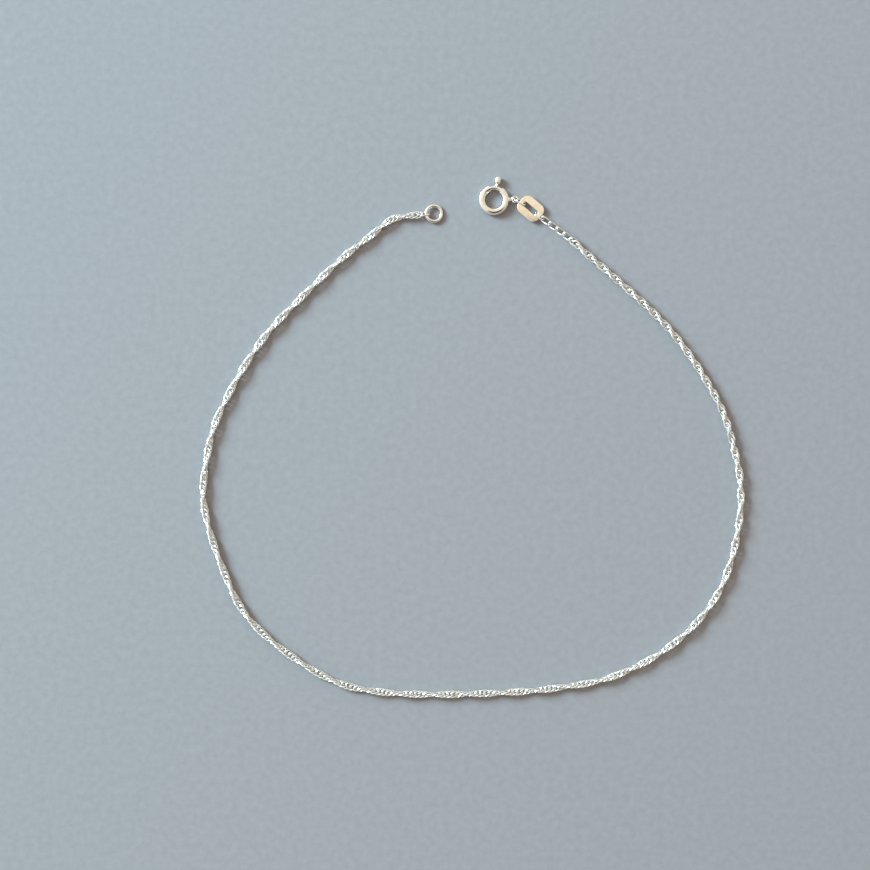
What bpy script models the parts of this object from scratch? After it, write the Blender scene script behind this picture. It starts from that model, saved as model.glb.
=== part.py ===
"""Chain anklet lying open on a flat surface. Units are metres, +Z is up, the surface is Z = 0.

One fine twisted curb chain runs round the ankle. A spring ring clasp hangs on one end by a jump
ring, a slotted tag and a link. A closed ring hangs on the other end by a link of its own.
"""

import math

import bmesh
import bpy
from mathutils import Matrix, Vector

MM = 0.001
NAME = "chain_anklet"

# Chain: the tube stands for the twisted ribbon of links, and real links close its two ends
CHAIN_WIDTH = 1.25 * MM
CHAIN_WIRE = 0.26 * MM
CHAIN_LINK_LENGTH = 1.56 * MM
POINT_SPACING = 3.1 * MM
LOOP_OVERLAP = 0.06 * MM

# The chain's route from the tag to the end ring, seen from above
ROUTE = [
    (18.3 * MM, 34.2 * MM),
    (21.8 * MM, 31.6 * MM),
    (25.0 * MM, 28.7 * MM),
    (28.2 * MM, 26.0 * MM),
    (31.5 * MM, 23.1 * MM),
    (34.7 * MM, 20.2 * MM),
    (37.9 * MM, 16.9 * MM),
    (41.1 * MM, 12.8 * MM),
    (43.6 * MM, 9.0 * MM),
    (45.6 * MM, 5.5 * MM),
    (47.3 * MM, 1.4 * MM),
    (48.5 * MM, -3.2 * MM),
    (49.2 * MM, -6.6 * MM),
    (49.4 * MM, -10.5 * MM),
    (49.1 * MM, -14.3 * MM),
    (48.1 * MM, -19.4 * MM),
    (46.5 * MM, -24.0 * MM),
    (44.3 * MM, -27.8 * MM),
    (40.9 * MM, -31.7 * MM),
    (36.3 * MM, -35.3 * MM),
    (31.5 * MM, -37.9 * MM),
    (26.6 * MM, -39.7 * MM),
    (20.2 * MM, -40.8 * MM),
    (13.7 * MM, -41.5 * MM),
    (4.0 * MM, -41.9 * MM),
    (-3.2 * MM, -41.9 * MM),
    (-9.0 * MM, -41.5 * MM),
    (-14.0 * MM, -40.6 * MM),
    (-18.5 * MM, -38.7 * MM),
    (-23.4 * MM, -35.6 * MM),
    (-28.2 * MM, -31.7 * MM),
    (-31.6 * MM, -27.5 * MM),
    (-34.2 * MM, -21.8 * MM),
    (-36.4 * MM, -15.5 * MM),
    (-37.4 * MM, -10.2 * MM),
    (-37.1 * MM, -5.6 * MM),
    (-35.8 * MM, 0.8 * MM),
    (-33.4 * MM, 6.3 * MM),
    (-30.2 * MM, 11.9 * MM),
    (-26.5 * MM, 17.0 * MM),
    (-21.8 * MM, 21.9 * MM),
    (-15.4 * MM, 28.1 * MM),
    (-10.5 * MM, 32.0 * MM),
    (-7.4 * MM, 34.5 * MM),
    (-5.6 * MM, 35.1 * MM),
    (-3.4 * MM, 35.4 * MM),
]

# Spring ring clasp
CLASP_DIAMETER = 5.0 * MM
CLASP_TUBE = 1.15 * MM
CLASP_WALL = 0.12 * MM
TONGUE_CLEARANCE = 0.105 * MM
MOUTH_NEAR = 52.0
MOUTH_FAR = 109.0
TONGUE_REACH = 7.0
TONGUE_TAIL = 50.0
TRIGGER_ANGLE = 77.0
TRIGGER_TRAVEL = 50.0
TRIGGER_STEM = 0.40 * MM
TRIGGER_HEAD = 1.08 * MM
TRIGGER_HEAD_HEIGHT = 1.15 * MM
TRIGGER_CLEARANCE = 0.10 * MM
KNOB_END_SHARE = 0.72
KNOB_TOP_SHOULDER = 0.20
KNOB_FOOT_SHOULDER = 0.30
EYELET_DIAMETER = 1.20 * MM
EYELET_WIRE = 0.30 * MM
NECK_LENGTH = 0.30 * MM
NECK_BASE = 1.00 * MM
NECK_TIP = 0.40 * MM
CLASP_HEADING = 181.0

# Links between the chain, the tag, the clasp and the end ring
LINK_WIRE = 0.30 * MM
LINK_GAP = 0.07 * MM
LINK_END_ROOM = 0.08 * MM
JUMP_RING_HEIGHT = 1.40 * MM
JUMP_RING_SLACK = 0.13 * MM
JUMP_RING_HEADING = 152.0
JUMP_RING_LEAN = -45.0
TAG_LINK_HEIGHT = 1.40 * MM
TAG_LINK_LEAN = -45.0
END_LINK_HEIGHT = 1.50 * MM
END_LINK_LEAN = 40.0
FLOOR_GAP = 0.02 * MM

# Tag
TAG_LENGTH = 4.2 * MM
TAG_WIDTH = 3.2 * MM
TAG_THICKNESS = 0.35 * MM
TAG_CORNER = 1.10 * MM
TAG_EDGE = 0.06 * MM
TAG_END_BAR = 0.70 * MM
SLOT_WIDTH = 0.80 * MM
SLOT_CORNER = 0.30 * MM
TAG_HEADING = 140.0

# End ring
END_RING_DIAMETER = 3.05 * MM
END_RING_WIRE = 0.55 * MM
END_RING_HEADING = 0.0

# Facets
WIRE_BEVEL_STEPS = 2
RING_BEVEL_STEPS = 3
TUBE_BEVEL_STEPS = 4
SPAN_SAMPLES = 20
RING_STEPS = 32
LINK_STEPS = 20
ARC_STEP = 6.5
CORNER_STEPS = 5
OVERCUT_ANGLE = 4.0
SHARP_ANGLE = 50.0
WELD_DISTANCE = 0.001 * MM

SILVER = (0.90, 0.89, 0.87)
WARM_SILVER = (0.93, 0.88, 0.78)


def clear_scene():
    for obj in list(bpy.data.objects):
        bpy.data.objects.remove(obj, do_unlink=True)


def new_collection(name, hidden=False):
    collection = bpy.data.collections.new(name)
    bpy.context.scene.collection.children.link(collection)
    collection.hide_render = hidden
    return collection


def metal(name, colour, roughness):
    material = bpy.data.materials.new(name)
    material.use_nodes = True
    shader = material.node_tree.nodes["Principled BSDF"]
    shader.inputs["Base Color"].default_value = (*colour, 1.0)
    shader.inputs["Metallic"].default_value = 1.0
    shader.inputs["Roughness"].default_value = roughness
    return material


def heading_vector(degrees):
    angle = math.radians(degrees)
    return Vector((math.cos(angle), math.sin(angle), 0.0))


def place(centre, heading, lean=0.0):
    """A frame at centre: its X along heading, its XY plane leaning by lean about that X axis."""
    turn = Matrix.Rotation(math.radians(heading), 4, "Z")
    tip = Matrix.Rotation(math.radians(lean), 4, "X")
    return Matrix.Translation(centre) @ turn @ tip


def add_object(name, data, collection, matrix=None):
    obj = bpy.data.objects.new(name, data)
    collection.objects.link(obj)
    obj.matrix_world = matrix or Matrix.Identity(4)
    return obj


def as_mesh(curve_object, name, collection, smooth=True):
    """Turns a curve object into a mesh object in its place, with its caps welded on."""
    bpy.context.view_layer.update()
    graph = bpy.context.evaluated_depsgraph_get()
    mesh = bpy.data.meshes.new_from_object(curve_object.evaluated_get(graph))
    matrix = curve_object.matrix_world.copy()
    bpy.data.objects.remove(curve_object, do_unlink=True)
    welded = bmesh.new()
    welded.from_mesh(mesh)
    bmesh.ops.remove_doubles(welded, verts=welded.verts, dist=WELD_DISTANCE)
    bmesh.ops.recalc_face_normals(welded, faces=welded.faces)
    welded.to_mesh(mesh)
    welded.free()
    if smooth:
        mesh.shade_smooth()
        mesh.set_sharp_from_angle(angle=math.radians(SHARP_ANGLE))
    mesh.name = name
    return add_object(name, mesh, collection, matrix)


def wire(name, points, diameter, collection, matrix=None, closed=False, bevel=WIRE_BEVEL_STEPS):
    """A round wire through the points, as a mesh object."""
    curve = bpy.data.curves.new(name, "CURVE")
    curve.dimensions = "3D"
    curve.bevel_depth = diameter / 2
    curve.bevel_resolution = bevel
    curve.use_fill_caps = not closed
    spline = curve.splines.new("POLY")
    spline.points.add(len(points) - 1)
    for point, place_at in zip(spline.points, points):
        point.co = (*place_at, 1.0)
    spline.use_cyclic_u = closed
    return as_mesh(add_object(name + "_route", curve, collection, matrix), name, collection)


def arc(radius, start, end, step=ARC_STEP):
    """Points on a circle about the origin in the XY plane, from start to end in degrees."""
    count = max(2, round(abs(end - start) / step))
    angles = [start + (end - start) * i / count for i in range(count + 1)]
    return [heading_vector(angle) * radius for angle in angles]


def circle(radius, steps=RING_STEPS):
    return arc(radius, 0.0, 360.0, 360.0 / steps)[:-1]


def oval(half_length, half_height, steps=LINK_STEPS):
    """The centreline of a link in its XZ plane: two straight sides and two round ends."""
    straight = half_length - half_height
    points = []
    for i in range(steps):
        angle = 2 * math.pi * (i + 0.5) / steps
        side = math.copysign(straight, math.cos(angle))
        across = side + half_height * math.cos(angle)
        points.append(Vector((across, 0.0, half_height * math.sin(angle))))
    return points


def rounded_rectangle(length, width, corner):
    """The outline of a rectangle with round corners, centred on the origin."""
    points = []
    for quarter, (sx, sy) in enumerate([(1, 1), (-1, 1), (-1, -1), (1, -1)]):
        centre = Vector((sx * (length / 2 - corner), sy * (width / 2 - corner), 0.0))
        for i in range(CORNER_STEPS + 1):
            points.append(centre + heading_vector(90 * (quarter + i / CORNER_STEPS)) * corner)
    return points


def plate(name, outlines, thickness, edge, collection, matrix):
    """A flat plate between outlines, with its edges rounded over."""
    curve = bpy.data.curves.new(name, "CURVE")
    curve.dimensions = "2D"
    curve.fill_mode = "BOTH"
    curve.extrude = thickness / 2 - edge
    curve.bevel_depth = edge
    curve.bevel_resolution = 0
    curve.offset = -edge
    for outline in outlines:
        spline = curve.splines.new("POLY")
        spline.points.add(len(outline) - 1)
        for point, place_at in zip(spline.points, outline):
            point.co = (*place_at, 1.0)
        spline.use_cyclic_u = True
    outline_object = add_object(name + "_outline", curve, collection, matrix)
    return as_mesh(outline_object, name, collection, smooth=False)


def turned(name, profile, collection, matrix, steps=12):
    """A turned shape about its own Z axis. The profile runs down its outer side."""
    mesh = bpy.data.meshes.new(name)
    edges = [(i, i + 1) for i in range(len(profile) - 1)]
    mesh.from_pydata([(radius, 0.0, height) for radius, height in profile], edges, [])
    obj = add_object(name, mesh, collection, matrix)
    screw = obj.modifiers.new("turn", "SCREW")
    screw.steps = steps
    screw.render_steps = steps
    screw.use_merge_vertices = True
    screw.merge_threshold = WELD_DISTANCE
    screw.use_smooth_shade = False
    return obj


def swept_box(name, inner, outer, height, start, end, collection, matrix):
    """A block of rectangular section swept about the Z axis from start to end in degrees."""
    count = max(2, round(abs(end - start) / ARC_STEP))
    shape = bmesh.new()
    rim = [(inner, -height / 2), (outer, -height / 2), (outer, height / 2), (inner, height / 2)]
    first = heading_vector(start)
    corners = [shape.verts.new(first * radius + Vector((0, 0, level))) for radius, level in rim]
    face = shape.faces.new(corners)
    bmesh.ops.spin(
        shape,
        geom=[*corners, *face.edges, face],
        cent=(0, 0, 0),
        axis=(0, 0, 1),
        angle=math.radians(end - start),
        steps=count,
    )
    bmesh.ops.recalc_face_normals(shape, faces=shape.faces)
    mesh = bpy.data.meshes.new(name)
    shape.to_mesh(mesh)
    shape.free()
    return add_object(name, mesh, collection, matrix)


def combine(target, other, operation):
    """Joins a helper to the target, or cuts it away, with a Boolean that stays live."""
    modifier = target.modifiers.new(other.name, "BOOLEAN")
    modifier.operation = operation
    modifier.solver = "EXACT"
    modifier.object = other
    other.hide_render = True
    other.display_type = "WIRE"


def catmull_rom(before, start, end, after, share):
    """The point at share between start and end on a smooth curve through all four."""
    return 0.5 * (
        2 * start
        + (end - before) * share
        + (2 * before - 5 * start + 4 * end - after) * share**2
        + (3 * start - before - 3 * end + after) * share**3
    )


def smooth_route(points, spacing, height):
    """Evenly spaced points on one smooth curve through the route's own points."""
    knots = [Vector((x, y, height)) for x, y in points]
    knots = [2 * knots[0] - knots[1], *knots, 2 * knots[-1] - knots[-2]]
    fine = []
    for i in range(1, len(knots) - 2):
        near = knots[i - 1 : i + 3]
        fine += [catmull_rom(*near, step / SPAN_SAMPLES) for step in range(SPAN_SAMPLES)]
    fine.append(knots[-2])
    along = [0.0]
    for a, b in zip(fine, fine[1:]):
        along.append(along[-1] + (b - a).length)
    count = round(along[-1] / spacing)
    chosen = [fine[0]]
    index = 0
    for i in range(1, count):
        wanted = along[-1] * i / count
        while along[index + 1] < wanted:
            index += 1
        share = (wanted - along[index]) / (along[index + 1] - along[index])
        chosen.append(fine[index].lerp(fine[index + 1], share))
    return [*chosen, fine[-1]]


def link_half_length(held, wire_diameter):
    """Half the centreline length of a link that holds pieces of these widths side by side."""
    room = sum(held) + (len(held) + 1) * LINK_GAP
    return room / 2 + LINK_END_ROOM + wire_diameter / 2


def rest_height(height, wire_diameter, lean):
    """How high a leaning link's centre lies, with its lowest wire just over the surface."""
    reach = (height - wire_diameter) / 2 * math.cos(math.radians(lean))
    return reach + wire_diameter / 2 + FLOOR_GAP


def make_link(name, centre, heading, lean, half_length, height, collection):
    half_height = (height - LINK_WIRE) / 2
    frame = place(centre, heading, lean)
    link = wire(name, oval(half_length, half_height), LINK_WIRE, collection, frame, closed=True)
    link.data.materials.append(metal(name, SILVER, 0.16))
    return link


def make_chain(parts, helpers):
    """The chain's tube, closed by a real link at each end. Returns it with its end frames."""
    height = CHAIN_WIDTH / 2
    points = smooth_route(ROUTE, POINT_SPACING, height)
    chain = wire("chain", points, CHAIN_WIDTH, parts)
    half_length = (CHAIN_LINK_LENGTH - CHAIN_WIRE) / 2
    half_width = (CHAIN_WIDTH - CHAIN_WIRE) / 2
    ends = []
    for label, end, inner in (("tag", points[0], points[1]), ("ring", points[-1], points[-2])):
        out = (end - inner).normalized()
        reach = half_length + CHAIN_WIRE / 2 - LOOP_OVERLAP
        heading = math.degrees(math.atan2(out.y, out.x))
        frame = place(end + out * reach, heading, 90.0)
        centreline = oval(half_length, half_width)
        loop = wire(label + "_end_loop", centreline, CHAIN_WIRE, helpers, frame, closed=True)
        combine(chain, loop, "UNION")
        ends.append((end + out * (reach + half_length), heading))
    chain.data.materials.append(metal("chain", SILVER, 0.18))
    return chain, ends


def make_tag(parts, first_loop, heading_out):
    """The tag and the link that joins it to the chain. Returns the middle of its far end bar."""
    half_length = link_half_length([TAG_END_BAR, CHAIN_WIRE], LINK_WIRE)
    end_space = half_length - LINK_WIRE / 2 - LINK_END_ROOM - LINK_GAP
    out = heading_vector(heading_out)
    link_centre = first_loop + out * (end_space - CHAIN_WIRE / 2)
    link_centre.z = rest_height(TAG_LINK_HEIGHT, LINK_WIRE, TAG_LINK_LEAN)
    make_link("tag_link", link_centre, heading_out, TAG_LINK_LEAN, half_length, TAG_LINK_HEIGHT, parts)
    along = heading_vector(TAG_HEADING)
    bar_middle = link_centre + out * (end_space - TAG_END_BAR / 2)
    centre = bar_middle + along * (TAG_LENGTH - TAG_END_BAR) / 2
    centre.z = LINK_WIRE + FLOOR_GAP + LINK_GAP + TAG_THICKNESS / 2
    slot_length = TAG_LENGTH - 2 * TAG_END_BAR
    outlines = [
        rounded_rectangle(TAG_LENGTH, TAG_WIDTH, TAG_CORNER),
        rounded_rectangle(slot_length, SLOT_WIDTH, SLOT_CORNER),
    ]
    tag = plate("tag", outlines, TAG_THICKNESS, TAG_EDGE, parts, place(centre, TAG_HEADING))
    tag.data.materials.append(metal("tag", WARM_SILVER, 0.3))
    return centre + along * (TAG_LENGTH - TAG_END_BAR) / 2


def make_jump_ring(parts, bar_middle):
    """The ring through the tag's slot and the clasp's eyelet. Returns the eyelet wire's middle."""
    half_length = link_half_length([TAG_END_BAR, EYELET_WIRE], LINK_WIRE) + JUMP_RING_SLACK
    end_space = half_length - LINK_WIRE / 2 - LINK_END_ROOM - LINK_GAP
    out = heading_vector(JUMP_RING_HEADING)
    centre = bar_middle + out * (end_space - TAG_END_BAR / 2)
    centre.z = rest_height(JUMP_RING_HEIGHT, LINK_WIRE, JUMP_RING_LEAN)
    lean, height = JUMP_RING_LEAN, JUMP_RING_HEIGHT
    make_link("jump_ring", centre, JUMP_RING_HEADING, lean, half_length, height, parts)
    return centre + out * (end_space - EYELET_WIRE / 2)


def make_clasp(parts, helpers, eyelet_side):
    """The spring ring and its bolt, on an empty at the ring's centre, which is the bolt's axis."""
    tube_radius = (CLASP_DIAMETER - CLASP_TUBE) / 2
    eyelet_radius = (EYELET_DIAMETER - EYELET_WIRE) / 2
    eyelet_at = CLASP_DIAMETER / 2 + NECK_LENGTH + EYELET_DIAMETER / 2
    out = heading_vector(CLASP_HEADING)
    centre = eyelet_side + out * (eyelet_radius + eyelet_at)
    centre.z = CLASP_TUBE / 2
    frame = place(centre, CLASP_HEADING + 180)
    axis = bpy.data.objects.new("clasp_axis", None)
    axis.empty_display_size = CLASP_DIAMETER / 2
    parts.objects.link(axis)
    axis.matrix_world = frame

    body_arc = arc(tube_radius, MOUTH_FAR, MOUTH_NEAR + 360)
    body = wire("clasp_body", body_arc, CLASP_TUBE, parts, frame, bevel=TUBE_BEVEL_STEPS)
    neck_start = tube_radius + CLASP_TUBE / 4
    neck_end = eyelet_at - eyelet_radius
    neck_frame = frame @ Matrix.Rotation(math.radians(90), 4, "Y")
    neck_profile = [
        (0.0, neck_end),
        (NECK_TIP / 2, neck_end),
        (NECK_BASE / 2, neck_start),
        (0.0, neck_start),
    ]
    eyelet_frame = frame @ Matrix.Translation((eyelet_at, 0, 0))
    eyelet_line = circle(eyelet_radius, LINK_STEPS)
    eyelet = wire("clasp_eyelet", eyelet_line, EYELET_WIRE, helpers, eyelet_frame, closed=True)
    bore = CLASP_TUBE - 2 * CLASP_WALL
    bore_arc = arc(tube_radius, MOUTH_FAR - OVERCUT_ANGLE, MOUTH_NEAR + 360 + OVERCUT_ANGLE)
    slot_width = TRIGGER_STEM + 2 * TRIGGER_CLEARANCE
    stem_angle = math.degrees((TRIGGER_STEM / 2 + TRIGGER_CLEARANCE) / tube_radius)
    slot_end = TRIGGER_ANGLE - TRIGGER_TRAVEL - stem_angle
    combine(body, turned("clasp_neck", neck_profile, helpers, neck_frame), "UNION")
    combine(body, eyelet, "UNION")
    cutter = wire("clasp_bore", bore_arc, bore, helpers, frame, bevel=TUBE_BEVEL_STEPS)
    combine(body, cutter, "DIFFERENCE")
    slot = swept_box(
        "trigger_slot",
        tube_radius,
        tube_radius + CLASP_TUBE,
        slot_width,
        slot_end,
        MOUTH_NEAR + OVERCUT_ANGLE,
        helpers,
        frame,
    )
    combine(body, slot, "DIFFERENCE")
    body.data.materials.append(metal("clasp_body", SILVER, 0.12))

    tongue = bore - 2 * TONGUE_CLEARANCE
    tongue_arc = arc(tube_radius, TRIGGER_ANGLE - TONGUE_TAIL, MOUTH_FAR + TONGUE_REACH)
    bolt = wire("clasp_bolt", tongue_arc, tongue, parts, frame, bevel=RING_BEVEL_STEPS)
    head_foot = CLASP_DIAMETER / 2 + TRIGGER_CLEARANCE
    head_top = head_foot + TRIGGER_HEAD_HEIGHT
    head_end = KNOB_END_SHARE * TRIGGER_HEAD / 2
    knob_profile = [
        (0.0, head_top),
        (head_end, head_top),
        (TRIGGER_HEAD / 2, head_top - KNOB_TOP_SHOULDER * TRIGGER_HEAD_HEIGHT),
        (TRIGGER_HEAD / 2, head_foot + KNOB_FOOT_SHOULDER * TRIGGER_HEAD_HEIGHT),
        (head_end, head_foot),
        (TRIGGER_STEM / 2, head_foot),
        (TRIGGER_STEM / 2, tube_radius),
        (0.0, tube_radius),
    ]
    knob_frame = frame @ Matrix.Rotation(math.radians(TRIGGER_ANGLE), 4, "Z")
    knob_frame = knob_frame @ Matrix.Rotation(math.radians(90), 4, "Y")
    combine(bolt, turned("trigger", knob_profile, helpers, knob_frame), "UNION")
    bolt.data.materials.append(metal("clasp_bolt", SILVER, 0.14))
    return axis, [body, bolt]


def make_end_ring(parts, last_loop, heading_out):
    """The closed ring that the clasp hooks into, and the link that joins it to the chain."""
    half_length = link_half_length([END_RING_WIRE, CHAIN_WIRE], LINK_WIRE) + LINK_GAP
    end_space = half_length - LINK_WIRE / 2 - LINK_END_ROOM - LINK_GAP
    out = heading_vector(heading_out)
    centre = last_loop + out * (end_space - CHAIN_WIRE / 2)
    centre.z = rest_height(END_LINK_HEIGHT, LINK_WIRE, END_LINK_LEAN)
    make_link("end_link", centre, heading_out, END_LINK_LEAN, half_length, END_LINK_HEIGHT, parts)
    ring_radius = (END_RING_DIAMETER - END_RING_WIRE) / 2
    near_side = centre + out * (end_space - END_RING_WIRE / 2)
    tilt = math.asin((centre.z - END_RING_WIRE / 2 - FLOOR_GAP) / (2 * ring_radius))
    along = heading_vector(END_RING_HEADING)
    middle = near_side + along * ring_radius * math.cos(tilt)
    middle.z = centre.z - ring_radius * math.sin(tilt)
    frame = place(middle, END_RING_HEADING) @ Matrix.Rotation(tilt, 4, "Y")
    line = circle(ring_radius)
    ring = wire("end_ring", line, END_RING_WIRE, parts, frame, closed=True, bevel=RING_BEVEL_STEPS)
    ring.data.materials.append(metal("end_ring", SILVER, 0.12))


def corners_of(objects):
    """The lowest and highest corners of the finished objects."""
    bpy.context.view_layer.update()
    graph = bpy.context.evaluated_depsgraph_get()
    spots = []
    for obj in objects:
        finished = obj.evaluated_get(graph)
        mesh = finished.to_mesh()
        spots += [finished.matrix_world @ vertex.co for vertex in mesh.vertices]
        finished.to_mesh_clear()
    low = Vector([min(spot[i] for spot in spots) for i in range(3)])
    high = Vector([max(spot[i] for spot in spots) for i in range(3)])
    return low, high


def hang_on_frame(parts, helpers, clasp_axis, clasp_pieces):
    """Puts everything under one empty, whose place sets the origin under the anklet's middle."""
    low, high = corners_of([obj for obj in parts.objects if obj.type == "MESH"])
    root = bpy.data.objects.new("anklet_frame", None)
    parts.objects.link(root)
    for obj in [*parts.objects, *helpers.objects]:
        if obj == root:
            continue
        holder = clasp_axis if obj in clasp_pieces else root
        matrix = obj.matrix_world.copy()
        obj.parent = holder
        obj.matrix_parent_inverse = holder.matrix_world.inverted()
        obj.matrix_world = matrix
    root.location = (-(low.x + high.x) / 2, -(low.y + high.y) / 2, -low.z)


def main():
    clear_scene()
    parts = new_collection(NAME)
    helpers = new_collection("cutters", hidden=True)
    chain, ends = make_chain(parts, helpers)
    (first_loop, first_heading), (last_loop, last_heading) = ends
    bar_middle = make_tag(parts, first_loop, first_heading)
    eyelet_side = make_jump_ring(parts, bar_middle)
    clasp_axis, clasp_pieces = make_clasp(parts, helpers, eyelet_side)
    make_end_ring(parts, last_loop, last_heading)
    hang_on_frame(parts, helpers, clasp_axis, clasp_pieces)


main()
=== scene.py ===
"""Looks for the chain anklet: every link of its chain, its silver, the floor, the light and the camera."""

import math

import bmesh
import bpy
import numpy as np
from mathutils import Matrix, Vector


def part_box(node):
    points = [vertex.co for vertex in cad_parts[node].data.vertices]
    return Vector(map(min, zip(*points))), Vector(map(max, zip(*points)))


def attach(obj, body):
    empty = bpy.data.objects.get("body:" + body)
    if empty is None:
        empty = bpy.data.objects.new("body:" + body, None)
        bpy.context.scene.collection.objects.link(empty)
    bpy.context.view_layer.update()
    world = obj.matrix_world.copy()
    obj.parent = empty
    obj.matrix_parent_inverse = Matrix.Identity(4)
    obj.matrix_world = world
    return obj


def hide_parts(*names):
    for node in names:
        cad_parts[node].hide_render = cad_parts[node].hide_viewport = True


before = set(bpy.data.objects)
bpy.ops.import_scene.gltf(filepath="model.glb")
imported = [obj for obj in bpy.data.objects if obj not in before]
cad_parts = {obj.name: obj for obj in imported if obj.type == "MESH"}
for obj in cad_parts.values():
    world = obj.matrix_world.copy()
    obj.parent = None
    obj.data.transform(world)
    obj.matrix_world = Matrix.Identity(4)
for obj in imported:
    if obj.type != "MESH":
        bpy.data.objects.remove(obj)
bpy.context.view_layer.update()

MM = 0.001
BODY = "anklet"
BOLT = "bolt"

# The photograph's frame: millimetres from its middle, +X right and +Y up
PHOTO_WIDTH = 140.7 * MM
PHOTO_DROP = 0.08 * MM
LENS = 85.0
SENSOR = 36.0

# The chain's route from the tag to the end ring, in the photograph's frame
ROUTE = [
    (18.3 * MM, 34.2 * MM),
    (21.8 * MM, 31.6 * MM),
    (25.0 * MM, 28.7 * MM),
    (28.2 * MM, 26.0 * MM),
    (31.5 * MM, 23.1 * MM),
    (34.7 * MM, 20.2 * MM),
    (37.9 * MM, 16.9 * MM),
    (41.1 * MM, 12.8 * MM),
    (43.6 * MM, 9.0 * MM),
    (45.6 * MM, 5.5 * MM),
    (47.3 * MM, 1.4 * MM),
    (48.5 * MM, -3.2 * MM),
    (49.2 * MM, -6.6 * MM),
    (49.4 * MM, -10.5 * MM),
    (49.1 * MM, -14.3 * MM),
    (48.1 * MM, -19.4 * MM),
    (46.5 * MM, -24.0 * MM),
    (44.3 * MM, -27.8 * MM),
    (40.9 * MM, -31.7 * MM),
    (36.3 * MM, -35.3 * MM),
    (31.5 * MM, -37.9 * MM),
    (26.6 * MM, -39.7 * MM),
    (20.2 * MM, -40.8 * MM),
    (13.7 * MM, -41.5 * MM),
    (4.0 * MM, -41.9 * MM),
    (-3.2 * MM, -41.9 * MM),
    (-9.0 * MM, -41.5 * MM),
    (-14.0 * MM, -40.6 * MM),
    (-18.5 * MM, -38.7 * MM),
    (-23.4 * MM, -35.6 * MM),
    (-28.2 * MM, -31.7 * MM),
    (-31.6 * MM, -27.5 * MM),
    (-34.2 * MM, -21.8 * MM),
    (-36.4 * MM, -15.5 * MM),
    (-37.4 * MM, -10.2 * MM),
    (-37.1 * MM, -5.6 * MM),
    (-35.8 * MM, 0.8 * MM),
    (-33.4 * MM, 6.3 * MM),
    (-30.2 * MM, 11.9 * MM),
    (-26.5 * MM, 17.0 * MM),
    (-21.8 * MM, 21.9 * MM),
    (-15.4 * MM, 28.1 * MM),
    (-10.5 * MM, 32.0 * MM),
    (-7.4 * MM, 34.5 * MM),
    (-5.6 * MM, 35.1 * MM),
    (-3.4 * MM, 35.4 * MM),
]
SPAN_SAMPLES = 20
HEADING_STEP = 0.3 * MM

# Chain links: each passes through the next two, and the ribbon turns about the route.
# A link warps less where a half turn of the ribbon is short. A side power under 1 gives
# straighter sides, and one over 1 gives more pointed sides.
CHAIN_WIDTH = 1.25 * MM
CHAIN_WIRE = 0.26 * MM
LINK_PITCH = 0.66 * MM
LINK_HALF_LENGTH = 0.84 * MM
LINK_HALF_WIDTH = 0.495 * MM
LINK_WARP = 0.14 * MM
TIGHT_LINK_WARP = 0.02 * MM
HALF_TURN = 5.6 * MM
TIGHT_HALF_TURN = 2.4 * MM
LINK_SIDE_POWER = 1.3
END_LINK_SIDE_POWER = 0.9
END_LINK_WARP = 0.08 * MM
LINK_STEPS = 24
LINK_SIDES = 8
FACET_TURN = 137.5

# How far past the route's ends the last links' own ends reach
END_REACH = 1.37 * MM

# Plain links next to the tag: each passes through the next one only, and they lie flat
PLAIN_COUNT = 4
PLAIN_PITCH = 1.45 * MM
PLAIN_HALF_LENGTH = 0.875 * MM
PLAIN_HALF_WIDTH = 0.41 * MM
PLAIN_WARP = 0.21 * MM
PLAIN_SIDE_POWER = 0.62
PLAIN_OVERLAP = 0.40 * MM

# Where the ribbon lies flat, along the route in millimetres: one half turn from each to the next
FLAT_AT = [
    5.3, 8.5, 11.4, 14.2, 17.0, 19.8, 22.5, 25.3, 28.0, 30.8, 33.6, 36.4, 38.9, 41.5, 43.9,
    46.3, 48.9, 52.3, 55.8, 59.6, 63.8, 68.2, 72.8, 77.8, 82.9, 88.1, 93.4, 98.9, 104.3, 109.6, 115.0,
    120.6, 126.2, 131.7, 137.1, 142.5, 148.2, 154.1, 159.7, 165.1, 170.5, 175.7, 180.6, 185.8, 190.9,
    195.8, 200.7, 205.6, 210.4, 215.1, 220.2, 225.2, 230.3, 234.4, 238.6,
]

# Clasp: its angles are degrees about its centre, from the eyelet
CLASP_DIAMETER = 5.0 * MM
CLASP_TUBE = 1.15 * MM
CLASP_BORE = 0.91 * MM
CLASP_TURN = 1.0
CLASP_STEPS = 120
CLASP_SIDES = 48
CLASP_SHARP = 35
MOUTH_NEAR = 52.0
MOUTH_FAR = 109.0
OVERCUT = 4.0
BORE_STEPS = 124
SLOT_STEPS = 24
TONGUE = 0.70 * MM
TONGUE_START = 27.0
TONGUE_END = 116.0
TONGUE_STEPS = 36
BOLT_SIDES = 32
BOLT_SHARP = 50
TRIGGER_ANGLE = 77.0
TRIGGER_TRAVEL = 50.0
TRIGGER_STEM = 0.40 * MM
TRIGGER_STEM_GAP = 0.02 * MM
TRIGGER_HEAD = 1.08 * MM
TRIGGER_HEAD_HEIGHT = 1.15 * MM
TRIGGER_CLEARANCE = 0.10 * MM
EYELET_DIAMETER = 1.20 * MM
EYELET_WIRE = 0.30 * MM
EYELET_STEPS = 48
EYELET_SIDES = 16
NECK_LENGTH = 0.30 * MM
NECK_BASE = 1.00 * MM
NECK_TIP = 0.40 * MM
NECK_SIDES = 24
NECK_ROWS = 9
WELD_DISTANCE = 0.001 * MM

# The knob's outline, from its foot: shares of its height and of its width
KNOB_OUTLINE = [
    (0.00, 0.78),
    (0.10, 0.94),
    (0.22, 1.00),
    (0.80, 1.00),
    (0.91, 0.93),
    (1.00, 0.72),
]

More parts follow.
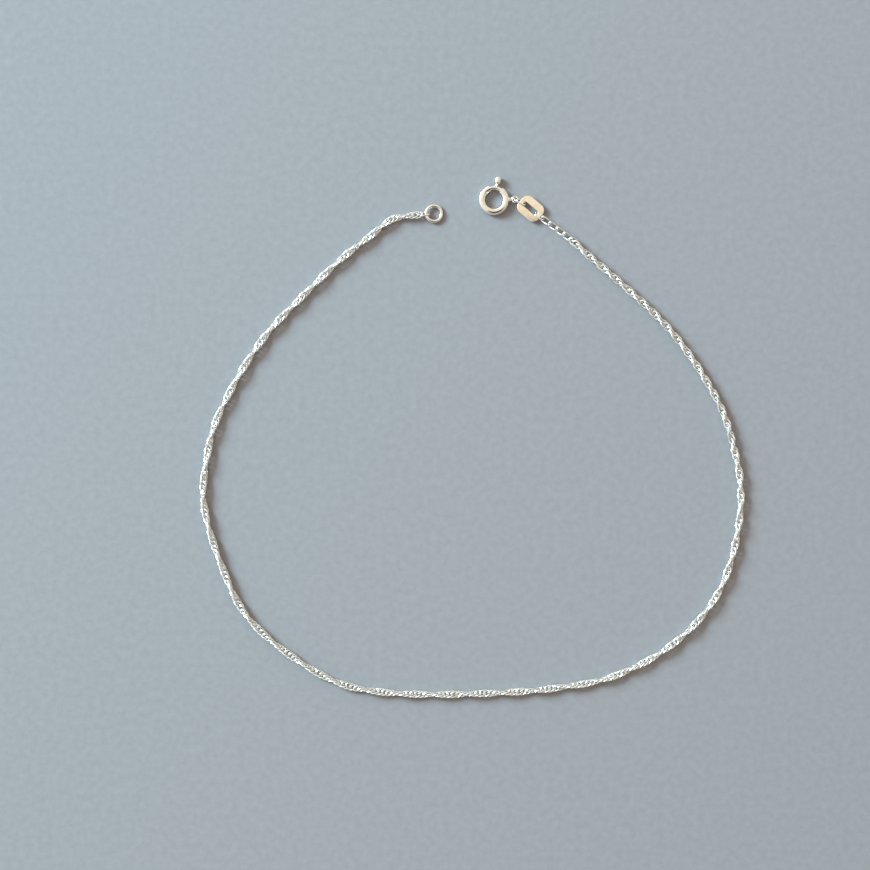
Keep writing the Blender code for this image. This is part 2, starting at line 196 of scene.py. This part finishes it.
# Links: their wire, half their centreline's length and height, and how they hang clear of their bars
FITTING_WIRE = 0.26 * MM
FITTING_STEPS = 48
FITTING_SIDES = 16
JUMP_RING = (0.965 * MM, 0.50 * MM)
JUMP_RING_HEADING = 152.0
JUMP_RING_LEAN = -37.0
JUMP_RING_SHIFT = (-0.05 * MM, -0.10 * MM, 0.0)
TAG_LINK = (0.815 * MM, 0.55 * MM)
TAG_LINK_LEAN = -45.0
TAG_LINK_SHIFT = (0.0, 0.05 * MM, 0.0)
END_LINK = (0.77 * MM, 0.55 * MM)
END_LINK_LEAN = 32.0
END_LINK_SHIFT = (0.0, -0.05 * MM, 0.0)

# Tag
TAG_LENGTH = 4.2 * MM
TAG_WIDTH = 3.2 * MM
TAG_THICKNESS = 0.35 * MM
TAG_CORNER = 1.10 * MM
TAG_EDGE = 0.06 * MM
TAG_EDGE_STEPS = 3
TAG_CORNER_STEPS = 10
TAG_SHARP = 30
TAG_END_BAR = 0.70 * MM
SLOT_WIDTH = 0.80 * MM
SLOT_CORNER = 0.30 * MM
TAG_HEADING = 140.0

# End ring
END_RING_DIAMETER = 3.05 * MM
END_RING_WIRE = 0.55 * MM
END_RING_STEPS = 96
END_RING_SIDES = 24

# Silver where it is clean and where it has aged, and the least and most rough it is
SILVER = (0.96, 0.96, 0.95)
AGED_SILVER = (0.90, 0.88, 0.84)
AGED_RING_SILVER = (0.90, 0.87, 0.82)
WARM_SILVER = (0.96, 0.92, 0.84)
WARM_AGED_SILVER = (0.90, 0.83, 0.71)
CHAIN_ROUGHNESS = (0.20, 0.34)
CLASP_ROUGHNESS = (0.03, 0.09)
LINK_ROUGHNESS = (0.06, 0.16)
END_RING_ROUGHNESS = (0.06, 0.15)
TAG_ROUGHNESS = (0.18, 0.28)

# Tarnish clouds and handling marks: noise scales, the noise values that they spread over, and depth
CLOUD_SCALE = 900.0
CLOUD_SPREAD = (0.38, 0.62)
MARK_SCALE = 9000.0
MARK_DETAIL = 6.0
MARK_SPREAD = (0.3, 0.7)
MARK_DEPTH = 0.004 * MM
MARK_STRENGTH = 0.2
TAG_MARK_SCALE = 14000.0
TAG_MARK_STRETCH = (0.12, 1.0, 1.0)
TAG_MARK_STRENGTH = 0.35

# Floor
FLOOR_SIZE = 3.0
FLOOR_COLOUR = (0.285, 0.265, 0.275)
FLOOR_CONTRAST = 0.05
FLOOR_ROUGHNESS = 0.9
FLOOR_SPECULAR = 0.1
FLOOR_GRAIN_SCALE = 900.0
FLOOR_GRAIN_DETAIL = 5.0
FLOOR_GRAIN_SPREAD = (0.3, 0.7)
FLOOR_GRAIN_DEPTH = 0.1 * MM
FLOOR_GRAIN_STRENGTH = 0.3

# The window's light: metres, watts, and degrees about the anklet and above the floor
WINDOW_SIZE = 0.45
WINDOW_POWER = 27.0
WINDOW_COLOUR = (0.55, 0.86, 1.0)
WINDOW_TURN = 150.0
WINDOW_HEIGHT = 28.0
WINDOW_DISTANCE = 1.1

# The room's light: by its sides, times its ends' shares, under a cream ceiling, past the viewer.
# A spread gives where the ceiling and the viewer start and where they are full.
ROOM_LEFT = (1.10, 1.24, 1.25)
ROOM_BETWEEN = (0.62, 0.57, 0.48)
ROOM_RIGHT = (0.66, 0.57, 0.42)
ROOM_NEAR_SHARE = (0.68, 0.58, 0.50)
ROOM_FAR_SHARE = (1.48, 1.60, 1.78)
CEILING = (0.98, 0.85, 0.66)
CEILING_SPREAD = (0.80, 0.93)
VIEWER = (0.05, 0.04, 0.03)
VIEWER_DIRECTION = (0.145, -0.446, 0.883)
VIEWER_SPREAD = (0.906, 0.951)

UP = Vector((0.0, 0.0, 1.0))


def catmull_rom(before, start, end, after, share):
    """The point at share between start and end on a smooth curve through all four."""
    return 0.5 * (
        2 * start
        + (end - before) * share
        + (2 * before - 5 * start + 4 * end - after) * share**2
        + (3 * start - before - 3 * end + after) * share**3
    )


def route_points():
    """Close points on the chain's smooth route, how far along it each is, and the photo's middle."""
    low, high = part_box("chain")
    knots = np.array(ROUTE)
    knots = np.vstack([2 * knots[0] - knots[1], knots, 2 * knots[-1] - knots[-2]])
    fine = []
    for i in range(1, len(knots) - 2):
        shares = np.arange(SPAN_SAMPLES) / SPAN_SAMPLES
        fine += [catmull_rom(*knots[i - 1 : i + 3], share) for share in shares]
    fine.append(knots[-2])
    fine = np.array(fine)
    middle_x = (low.x + high.x) / 2 - (fine[:, 0].min() + fine[:, 0].max()) / 2
    middle_y = low.y + CHAIN_WIDTH / 2 - fine[:, 1].min()
    steps = np.linalg.norm(np.diff(fine, axis=0), axis=1)
    along = np.concatenate([[0.0], np.cumsum(steps)])
    return fine + np.array([middle_x, middle_y]), along, Vector((middle_x, middle_y, 0.0))


def point_and_heading(points, along, distance):
    """Where the route is at a distance along it, past its ends too, and its heading there."""
    start = np.clip(distance - HEADING_STEP, 0.0, along[-1] - 2 * HEADING_STEP)
    behind, ahead = (
        np.array([np.interp(spot, along, points[:, i]) for i in (0, 1)])
        for spot in (start, start + 2 * HEADING_STEP)
    )
    heading = (ahead - behind) / np.linalg.norm(ahead - behind)
    inside = np.clip(distance, 0.0, along[-1])
    spot = np.array([np.interp(inside, along, points[:, i]) for i in (0, 1)])
    return spot + heading * (distance - inside), heading


def wire_rows(centre, diameter, sides, closed, up=UP, facet=0.0):
    """Corners of a wire along a centreline, one row for each of its points. facet turns its sides."""
    centre = np.array(centre, float)
    if closed:
        tangent = np.roll(centre, -1, axis=0) - np.roll(centre, 1, axis=0)
    else:
        tangent = np.gradient(centre, axis=0)
    tangent /= np.linalg.norm(tangent, axis=1)[:, None]
    side = np.cross(tangent, np.array(up))
    side /= np.linalg.norm(side, axis=1)[:, None]
    over = np.cross(side, tangent)
    angle = 2 * math.pi * (np.arange(sides) + 0.5) / sides + math.radians(facet)
    ring = side[:, None] * np.cos(angle)[None, :, None] + over[:, None] * np.sin(angle)[None, :, None]
    radius = np.broadcast_to(np.asarray(diameter) / 2, (len(centre),))
    return centre[:, None] + ring * radius[:, None, None]


def wire_faces(rows, sides, closed):
    """Quads between the rows of a wire, facing outward."""
    row = np.arange(rows if closed else rows - 1)[:, None]
    column = np.arange(sides)[None, :]
    after = (row + 1) % rows
    beside = (column + 1) % sides
    quads = [row * sides + column, after * sides + column, after * sides + beside, row * sides + beside]
    return np.stack([np.broadcast_to(corner, (len(row), sides)) for corner in quads], axis=2).reshape(-1, 4)


def new_object(name, corners, faces):
    """A smooth mesh object."""
    mesh = bpy.data.meshes.new(name)
    mesh.from_pydata(corners, [], faces)
    mesh.shade_smooth()
    obj = bpy.data.objects.new(name, mesh)
    bpy.context.scene.collection.objects.link(obj)
    return obj


def wire(name, centre, diameter, sides, closed, matrix, up=UP):
    """A round wire as a mesh object. An open one has flat ends."""
    rows = wire_rows(centre, diameter, sides, closed, up)
    faces = wire_faces(len(rows), sides, closed).tolist()
    if not closed:
        last = (len(rows) - 1) * sides
        faces.append(list(range(sides)))
        faces.append(list(range(last, last + sides))[::-1])
    obj = new_object(name, rows.reshape(-1, 3).tolist(), faces)
    obj.matrix_world = matrix
    return obj


def weld(mesh):
    """Joins points that lie on each other, so that the mesh is closed."""
    joined = bmesh.new()
    joined.from_mesh(mesh)
    bmesh.ops.remove_doubles(joined, verts=joined.verts, dist=WELD_DISTANCE)
    joined.to_mesh(mesh)
    joined.free()


def finished(name, obj, helpers, sharp):
    """The object with helpers joined to it or cut from it, as one plain mesh."""
    for operation, helper in helpers:
        modifier = obj.modifiers.new(helper.name, "BOOLEAN")
        modifier.operation = operation
        modifier.solver = "EXACT"
        modifier.object = helper
    bpy.context.view_layer.update()
    graph = bpy.context.evaluated_depsgraph_get()
    mesh = bpy.data.meshes.new_from_object(obj.evaluated_get(graph))
    weld(mesh)
    result = bpy.data.objects.new(name, mesh)
    result.matrix_world = obj.matrix_world.copy()
    bpy.context.scene.collection.objects.link(result)
    for used in [obj, *(helper for _, helper in helpers)]:
        bpy.data.objects.remove(used, do_unlink=True)
    mesh.shade_smooth()
    mesh.set_sharp_from_angle(angle=math.radians(sharp))
    mesh.name = name
    return result


def arc(radius, start, end, steps):
    """Points on a circle about the Z axis, from start to end in degrees."""
    angle = np.radians(np.linspace(start, end, steps + 1))
    return np.stack([radius * np.cos(angle), radius * np.sin(angle), 0 * angle], axis=1)


def place(centre, heading, lean=0.0):
    """A frame at centre: its X along heading, its XY plane leaning by lean about that X axis."""
    turn = Matrix.Rotation(math.radians(heading), 4, "Z")
    return Matrix.Translation(centre) @ turn @ Matrix.Rotation(math.radians(lean), 4, "X")


def box_middle(node):
    """The middle of a CAD node's box."""
    low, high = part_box(node)
    return (low + high) / 2


def squared(value, power):
    """A sine or cosine raised to a power, with its sign kept."""
    return np.sign(value) * np.abs(value) ** power


def chain_link(half_length, half_width, warp, power, facet):
    """One cut link: an oval whose ends twist up and down to pass its neighbours."""
    turn = 2 * math.pi * np.arange(LINK_STEPS) / LINK_STEPS
    along = half_length * np.cos(turn)
    oval = [along, half_width * squared(np.sin(turn), power), -warp * np.sin(2 * turn)]
    return wire_rows(np.stack(oval, axis=1), CHAIN_WIRE, LINK_SIDES, True, facet=facet).reshape(-1, 3)


def cut_link_form(distance):
    """A cut link's form. It warps less where the ribbon turns fast, so that it clears its neighbours."""
    flat_at = np.array(FLAT_AT) * MM
    middles = (flat_at[1:] + flat_at[:-1]) / 2
    half_turn = np.interp(distance, middles, np.diff(flat_at))
    share = np.clip((half_turn - TIGHT_HALF_TURN) / (HALF_TURN - TIGHT_HALF_TURN), 0.0, 1.0)
    warp = TIGHT_LINK_WARP + (LINK_WARP - TIGHT_LINK_WARP) * share
    return LINK_HALF_LENGTH, LINK_HALF_WIDTH, warp, LINK_SIDE_POWER


def link_places(length):
    """The distance along the route and the form of every link, from the tag to the end ring."""
    plain = (PLAIN_HALF_LENGTH, PLAIN_HALF_WIDTH, PLAIN_WARP, PLAIN_SIDE_POWER)
    places = [(PLAIN_HALF_LENGTH - END_REACH + PLAIN_PITCH * i, plain) for i in range(PLAIN_COUNT)]
    first = places[-1][0] + PLAIN_HALF_LENGTH + LINK_HALF_LENGTH - PLAIN_OVERLAP
    last = length + END_REACH - LINK_HALF_LENGTH
    count = round((last - first) / LINK_PITCH)
    end_form = (LINK_HALF_LENGTH, LINK_HALF_WIDTH, END_LINK_WARP, END_LINK_SIDE_POWER)
    spots = [first + (last - first) * i / count for i in range(1, count)]
    between = [(spot, cut_link_form(spot)) for spot in spots]
    return places + [(first, end_form)] + between + [(last, end_form)]


def make_chain(points, along):
    """Every link of the chain as one joined mesh."""
    shape_faces = wire_faces(LINK_STEPS, LINK_SIDES, True)
    flat_at = np.array(FLAT_AT) * MM
    corners, faces = [], []
    for i, (distance, form) in enumerate(link_places(along[-1])):
        shape = chain_link(*form, FACET_TURN * i)
        spot, heading = point_and_heading(points, along, distance)
        turn = math.pi * np.interp(distance, flat_at, np.arange(len(flat_at)))
        left = np.array([-heading[1], heading[0], 0.0])
        side = left * math.cos(turn) + np.array(UP) * math.sin(turn)
        over = np.array(UP) * math.cos(turn) - left * math.sin(turn)
        middle = np.array([*spot, CHAIN_WIDTH / 2])
        corners.append(middle + shape @ np.stack([[*heading, 0.0], side, over]))
        faces.append(shape_faces + i * len(shape))
    chain = new_object("chain_links", np.vstack(corners).tolist(), np.vstack(faces).tolist())
    chain.data.shade_flat()
    return chain


def make_oval_link(name, node, size, heading, lean, shift):
    """A small link of two straight sides and two round ends, where its CAD node is."""
    half_length, half_height = size
    straight = half_length - half_height
    angle = 2 * math.pi * (np.arange(FITTING_STEPS) + 0.5) / FITTING_STEPS
    across = np.copysign(straight, np.cos(angle)) + half_height * np.cos(angle)
    centre = np.stack([across, 0 * angle, half_height * np.sin(angle)], axis=1)
    up = (0.0, 1.0, 0.0)
    matrix = place(box_middle(node) + Vector(shift), heading, lean)
    return wire(name, centre, FITTING_WIRE, FITTING_SIDES, True, matrix, up)


def make_end_ring():
    """The plain closed ring, leaning on the link that holds it."""
    low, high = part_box("end_ring")
    radius = (END_RING_DIAMETER - END_RING_WIRE) / 2
    tilt = math.asin((high.z - low.z - END_RING_WIRE) / (2 * radius))
    matrix = Matrix.Translation(box_middle("end_ring")) @ Matrix.Rotation(tilt, 4, "Y")
    ring_arc = arc(radius, 0, 360, END_RING_STEPS)[:-1]
    return wire("end_ring_finish", ring_arc, END_RING_WIRE, END_RING_SIDES, True, matrix)


def clasp_frame():
    """The frame at the spring ring's centre, with its X axis towards the eyelet."""
    low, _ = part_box("clasp_body")
    centre = low + Vector((CLASP_DIAMETER, CLASP_DIAMETER, CLASP_TUBE)) / 2
    return place(centre, CLASP_TURN)


def swept_block(name, inner, outer, height, start, end, matrix):
    """A block of rectangular section that follows the ring from start to end in degrees."""
    rows = []
    for direction in arc(1.0, start, end, SLOT_STEPS):
        for radius, level in ((inner, -1), (outer, -1), (outer, 1), (inner, 1)):
            rows.append((direction[0] * radius, direction[1] * radius, level * height / 2))
    faces = wire_faces(SLOT_STEPS + 1, 4, False).tolist()
    faces += [[0, 1, 2, 3], [SLOT_STEPS * 4 + i for i in (3, 2, 1, 0)]]
    obj = new_object(name, rows, faces)
    obj.matrix_world = matrix
    return obj


def make_clasp_body():
    """The hollow C of the spring ring with its neck, its eyelet and the trigger's slot."""
    frame_at = clasp_frame()
    ring = (CLASP_DIAMETER - CLASP_TUBE) / 2
    body_arc = arc(ring, MOUTH_FAR, MOUTH_NEAR + 360, CLASP_STEPS)
    body = wire("tube", body_arc, CLASP_TUBE, CLASP_SIDES, False, frame_at)
    eyelet_at = CLASP_DIAMETER / 2 + NECK_LENGTH + EYELET_DIAMETER / 2
    eyelet_radius = (EYELET_DIAMETER - EYELET_WIRE) / 2
    share = np.linspace(0.0, 1.0, NECK_ROWS)
    neck_start = ring + CLASP_TUBE / 4
    neck_x = neck_start + (eyelet_at - eyelet_radius - neck_start) * share
    neck_line = np.stack([neck_x, 0 * share, 0 * share], axis=1)
    neck_width = NECK_BASE + (NECK_TIP - NECK_BASE) * share
    neck = wire("neck", neck_line, neck_width, NECK_SIDES, False, frame_at)
    eyelet_frame = frame_at @ Matrix.Translation((eyelet_at, 0, 0))
    eyelet_arc = arc(eyelet_radius, 0, 360, EYELET_STEPS)[:-1]
    eyelet = wire("eyelet", eyelet_arc, EYELET_WIRE, EYELET_SIDES, True, eyelet_frame)
    bore_arc = arc(ring, MOUTH_FAR - OVERCUT, MOUTH_NEAR + 360 + OVERCUT, BORE_STEPS)
    bore = wire("bore", bore_arc, CLASP_BORE, CLASP_SIDES, False, frame_at)
    half_stem = math.degrees((TRIGGER_STEM / 2 + TRIGGER_CLEARANCE) / ring)
    slot_start = TRIGGER_ANGLE - TRIGGER_TRAVEL - half_stem
    slot_width = TRIGGER_STEM + 2 * TRIGGER_CLEARANCE
    slot = swept_block(
        "slot", ring, ring + CLASP_TUBE, slot_width, slot_start, MOUTH_NEAR + OVERCUT, frame_at
    )
    steps = [("UNION", neck), ("UNION", eyelet), ("DIFFERENCE", bore), ("DIFFERENCE", slot)]
    return finished("clasp_body_finish", body, steps, CLASP_SHARP)


def make_clasp_bolt():
    """The sliding tongue and its trigger, whose knob has softened edges."""
    frame_at = clasp_frame()
    ring = (CLASP_DIAMETER - CLASP_TUBE) / 2
    tongue_arc = arc(ring, TONGUE_START, TONGUE_END, TONGUE_STEPS)
    tongue = wire("tongue", tongue_arc, TONGUE, BOLT_SIDES, False, frame_at)
    foot = CLASP_DIAMETER / 2 + TRIGGER_CLEARANCE
    profile = [(ring, TRIGGER_STEM), (foot - TRIGGER_STEM_GAP, TRIGGER_STEM)]
    for height_share, width_share in KNOB_OUTLINE:
        profile.append((foot + height_share * TRIGGER_HEAD_HEIGHT, width_share * TRIGGER_HEAD))
    line = [(distance, 0.0, 0.0) for distance, _ in profile]
    widths = [width for _, width in profile]
    knob_frame = frame_at @ Matrix.Rotation(math.radians(TRIGGER_ANGLE), 4, "Z")
    knob = wire("knob", line, widths, BOLT_SIDES, False, knob_frame)
    return finished("clasp_bolt_finish", tongue, [("UNION", knob)], BOLT_SHARP)


def rounded_rectangle(length, width, corner):
    """The outline of a rectangle with round corners, centred on the origin."""
    points = []
    for quarter, (sx, sy) in enumerate([(1, 1), (-1, 1), (-1, -1), (1, -1)]):
        centre = np.array([sx * (length / 2 - corner), sy * (width / 2 - corner), 0.0])
        corner_arc = arc(corner, 90 * quarter, 90 * quarter + 90, TAG_CORNER_STEPS)
        points += [centre + point for point in corner_arc]
    return points


def make_tag():
    """The flat slotted tag with its edges rounded over."""
    curve = bpy.data.curves.new("tag_outline", "CURVE")
    curve.dimensions = "2D"
    curve.fill_mode = "BOTH"
    curve.extrude = TAG_THICKNESS / 2 - TAG_EDGE
    curve.bevel_depth = TAG_EDGE
    curve.bevel_resolution = TAG_EDGE_STEPS
    curve.offset = -TAG_EDGE
    slot_length = TAG_LENGTH - 2 * TAG_END_BAR
    outlines = [
        rounded_rectangle(TAG_LENGTH, TAG_WIDTH, TAG_CORNER),
        rounded_rectangle(slot_length, SLOT_WIDTH, SLOT_CORNER),
    ]
    for outline in outlines:
        spline = curve.splines.new("POLY")
        spline.points.add(len(outline) - 1)
        for point, place_at in zip(spline.points, outline):
            point.co = (*place_at, 1.0)
        spline.use_cyclic_u = True
    obj = bpy.data.objects.new("tag_outline", curve)
    bpy.context.scene.collection.objects.link(obj)
    obj.matrix_world = place(box_middle("tag"), TAG_HEADING)
    return finished("tag_finish", obj, [], TAG_SHARP)


def new_material(name):
    """A material with its node tree and its shader."""
    material = bpy.data.materials.new(name)
    material.use_nodes = True
    return material, material.node_tree, material.node_tree.nodes["Principled BSDF"]


def object_place(tree, turn=0.0, stretch=(1.0, 1.0, 1.0)):
    """Object coordinates, turned about Z and stretched."""
    where = tree.nodes.new("ShaderNodeTexCoord").outputs["Object"]
    mapping = tree.nodes.new("ShaderNodeMapping")
    mapping.inputs["Rotation"].default_value = (0.0, 0.0, math.radians(turn))
    mapping.inputs["Scale"].default_value = stretch
    tree.links.new(where, mapping.inputs["Vector"])
    return mapping.outputs["Vector"]


def noise(tree, where, scale, detail=3.0):
    """Smooth cloudy values from 0 to 1."""
    texture = tree.nodes.new("ShaderNodeTexNoise")
    texture.inputs["Scale"].default_value = scale
    texture.inputs["Detail"].default_value = detail
    tree.links.new(where, texture.inputs["Vector"])
    return texture.outputs["Fac"]


def ramp(tree, value, stops):
    """A colour ramp from (position, colour) stops: the two ends first, then any between."""
    node = tree.nodes.new("ShaderNodeValToRGB")
    elements = node.color_ramp.elements
    stops = list(stops)
    for element, (position, colour) in zip(elements, stops):
        element.position = position
        element.color = (*colour, 1.0)
    for position, colour in stops[2:]:
        elements.new(position).color = (*colour, 1.0)
    tree.links.new(value, node.inputs["Fac"])
    return node.outputs["Color"]


def span(tree, value, to_low, to_high, from_low=0.0, from_high=1.0):
    """The value with one range stretched onto another."""
    node = tree.nodes.new("ShaderNodeMapRange")
    node.inputs["From Min"].default_value = from_low
    node.inputs["From Max"].default_value = from_high
    node.inputs["To Min"].default_value = to_low
    node.inputs["To Max"].default_value = to_high
    tree.links.new(value, node.inputs["Value"])
    return node.outputs["Result"]


def blend(tree, factor, first, second, mode="MIX"):
    """A mix of two colours, each a socket or a plain colour."""
    node = tree.nodes.new("ShaderNodeMix")
    node.data_type = "RGBA"
    node.blend_type = mode
    for value, socket in ((factor, 0), (first, 6), (second, 7)):
        if isinstance(value, bpy.types.NodeSocket):
            tree.links.new(value, node.inputs[socket])
        elif socket:
            node.inputs[socket].default_value = (*value, 1.0)
        else:
            node.inputs[socket].default_value = value
    return node.outputs[2]


def bump(tree, shader, height, distance, strength):
    """Fine relief on a shader's surface."""
    node = tree.nodes.new("ShaderNodeBump")
    node.inputs["Distance"].default_value = distance
    node.inputs["Strength"].default_value = strength
    tree.links.new(height, node.inputs["Height"])
    tree.links.new(node.outputs["Normal"], shader.inputs["Normal"])


def silver(name, clean, aged, roughness, marks_at=None, mark_scale=MARK_SCALE, strength=MARK_STRENGTH):
    """Silver: faint cloudy tarnish, fine handling marks and a slightly uneven polish."""
    material, tree, shader = new_material(name)
    cloud = noise(tree, object_place(tree), CLOUD_SCALE)
    marks = noise(tree, object_place(tree, *(marks_at or ())), mark_scale, MARK_DETAIL)
    colours = zip(CLOUD_SPREAD, (aged, clean))
    tree.links.new(ramp(tree, cloud, colours), shader.inputs["Base Color"])
    tree.links.new(span(tree, marks, *roughness, *MARK_SPREAD), shader.inputs["Roughness"])
    shader.inputs["Metallic"].default_value = 1.0
    bump(tree, shader, marks, MARK_DEPTH, strength)
    return material


def make_floor():
    """A plain pale sheet with a barely visible grain."""
    half = FLOOR_SIZE / 2
    corners = [(-half, -half, 0), (half, -half, 0), (half, half, 0), (-half, half, 0)]
    floor = new_object("floor", corners, [(0, 1, 2, 3)])
    material, tree, shader = new_material("pale_floor")
    grain = noise(tree, object_place(tree), FLOOR_GRAIN_SCALE, FLOOR_GRAIN_DETAIL)
    dark = tuple(channel * (1 - FLOOR_CONTRAST) for channel in FLOOR_COLOUR)
    pale = tuple(channel * (1 + FLOOR_CONTRAST) for channel in FLOOR_COLOUR)
    colours = zip(FLOOR_GRAIN_SPREAD, (dark, pale))
    tree.links.new(ramp(tree, grain, colours), shader.inputs["Base Color"])
    shader.inputs["Roughness"].default_value = FLOOR_ROUGHNESS
    shader.inputs["Specular IOR Level"].default_value = FLOOR_SPECULAR
    bump(tree, shader, grain, FLOOR_GRAIN_DEPTH, FLOOR_GRAIN_STRENGTH)
    floor.data.materials.append(material)


def make_window(middle):
    """The cool main light, low on the left and a little above in the picture."""
    light = bpy.data.lights.new("window", "AREA")
    light.shape = "DISK"
    light.size = WINDOW_SIZE
    light.energy = WINDOW_POWER
    light.color = WINDOW_COLOUR
    obj = bpy.data.objects.new("window", light)
    turn = math.radians(WINDOW_TURN)
    height = math.radians(WINDOW_HEIGHT)
    across = Vector((math.cos(turn), math.sin(turn), 0.0)) * math.cos(height)
    obj.location = middle + WINDOW_DISTANCE * (across + UP * math.sin(height))
    obj.rotation_euler = (middle - obj.location).to_track_quat("-Z", "Y").to_euler()
    bpy.context.scene.collection.objects.link(obj)


def make_room():
    """The soft surroundings: bright beyond and on the left, dim on the right and on this side."""
    world = bpy.data.worlds.new("room")
    world.use_nodes = True
    tree = world.node_tree
    direction = tree.nodes.new("ShaderNodeTexCoord").outputs["Generated"]
    split = tree.nodes.new("ShaderNodeSeparateXYZ")
    tree.links.new(direction, split.inputs["Vector"])
    across = span(tree, split.outputs["X"], 0.0, 1.0, -1.0, 1.0)
    away = span(tree, split.outputs["Y"], 0.0, 1.0, -1.0, 1.0)
    sides = ramp(tree, across, [(0.0, ROOM_LEFT), (1.0, ROOM_RIGHT), (0.5, ROOM_BETWEEN)])
    ends = ramp(tree, away, [(0.0, ROOM_NEAR_SHARE), (1.0, ROOM_FAR_SHARE)])
    walls = blend(tree, 1.0, sides, ends, "MULTIPLY")
    above = span(tree, split.outputs["Z"], 0.0, 1.0, *CEILING_SPREAD)
    lit = blend(tree, above, walls, CEILING)
    towards = tree.nodes.new("ShaderNodeVectorMath")
    towards.operation = "DOT_PRODUCT"
    towards.inputs[1].default_value = VIEWER_DIRECTION
    tree.links.new(direction, towards.inputs[0])
    viewer = span(tree, towards.outputs["Value"], 0.0, 1.0, *VIEWER_SPREAD)
    colour = blend(tree, viewer, lit, VIEWER)
    tree.links.new(colour, tree.nodes["Background"].inputs["Color"])
    bpy.context.scene.world = world
    bpy.context.scene.view_settings.view_transform = "Standard"


def make_camera(middle):
    """The camera, straight above the photograph's middle."""
    camera = bpy.data.cameras.new("camera")
    camera.lens = LENS
    camera.sensor_width = SENSOR
    obj = bpy.data.objects.new("camera", camera)
    obj.location = middle + UP * PHOTO_WIDTH * LENS / SENSOR - Vector((0.0, PHOTO_DROP, 0.0))
    bpy.context.scene.collection.objects.link(obj)
    bpy.context.scene.camera = obj


def stand_for(obj, node, body, material):
    """Puts a finished piece, its turn written into its mesh, in the place of its CAD node."""
    spot = Matrix.Translation(obj.matrix_world.translation)
    obj.data.transform(spot.inverted() @ obj.matrix_world)
    obj.matrix_world = spot
    obj.data.materials.clear()
    obj.data.materials.append(material)
    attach(obj, body)
    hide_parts(node)


def heading_out(points, along, distance, sign):
    """The route's heading in degrees, or with sign -1 the way back along it."""
    _, heading = point_and_heading(points, along, distance)
    return math.degrees(math.atan2(sign * heading[1], sign * heading[0]))


def make_tag_silver():
    """Warm silver with a satin grain along the tag."""
    marks_at = (-TAG_HEADING, TAG_MARK_STRETCH)
    colours = (WARM_SILVER, WARM_AGED_SILVER)
    return silver("tag_silver", *colours, TAG_ROUGHNESS, marks_at, TAG_MARK_SCALE, TAG_MARK_STRENGTH)


def make_fittings(points, along):
    """The clasp, the tag, the end ring and the three small links, each on its body."""
    clasp_silver = silver("clasp_silver", SILVER, AGED_RING_SILVER, CLASP_ROUGHNESS)
    link_silver = silver("link_silver", SILVER, AGED_SILVER, LINK_ROUGHNESS)
    ring_silver = silver("ring_silver", SILVER, AGED_RING_SILVER, END_RING_ROUGHNESS)
    stand_for(make_clasp_body(), "clasp_body", BODY, clasp_silver)
    stand_for(make_clasp_bolt(), "clasp_bolt", BOLT, clasp_silver)
    stand_for(make_tag(), "tag", BODY, make_tag_silver())
    stand_for(make_end_ring(), "end_ring", BODY, ring_silver)
    tag_heading = heading_out(points, along, 0.0, -1)
    end_heading = heading_out(points, along, along[-1], 1)
    links = [
        ("jump_ring", JUMP_RING, JUMP_RING_HEADING, JUMP_RING_LEAN, JUMP_RING_SHIFT),
        ("tag_link", TAG_LINK, tag_heading, TAG_LINK_LEAN, TAG_LINK_SHIFT),
        ("end_link", END_LINK, end_heading, END_LINK_LEAN, END_LINK_SHIFT),
    ]
    for node, size, heading, lean, shift in links:
        link = make_oval_link(node + "_finish", node, size, heading, lean, shift)
        stand_for(link, node, BODY, link_silver)


def main():
    """The chain and its fittings in the room."""
    points, along, middle = route_points()
    chain_silver = silver("chain_silver", SILVER, AGED_SILVER, CHAIN_ROUGHNESS)
    stand_for(make_chain(points, along), "chain", BODY, chain_silver)
    make_fittings(points, along)
    make_floor()
    make_window(middle)
    make_room()
    make_camera(middle)


main()
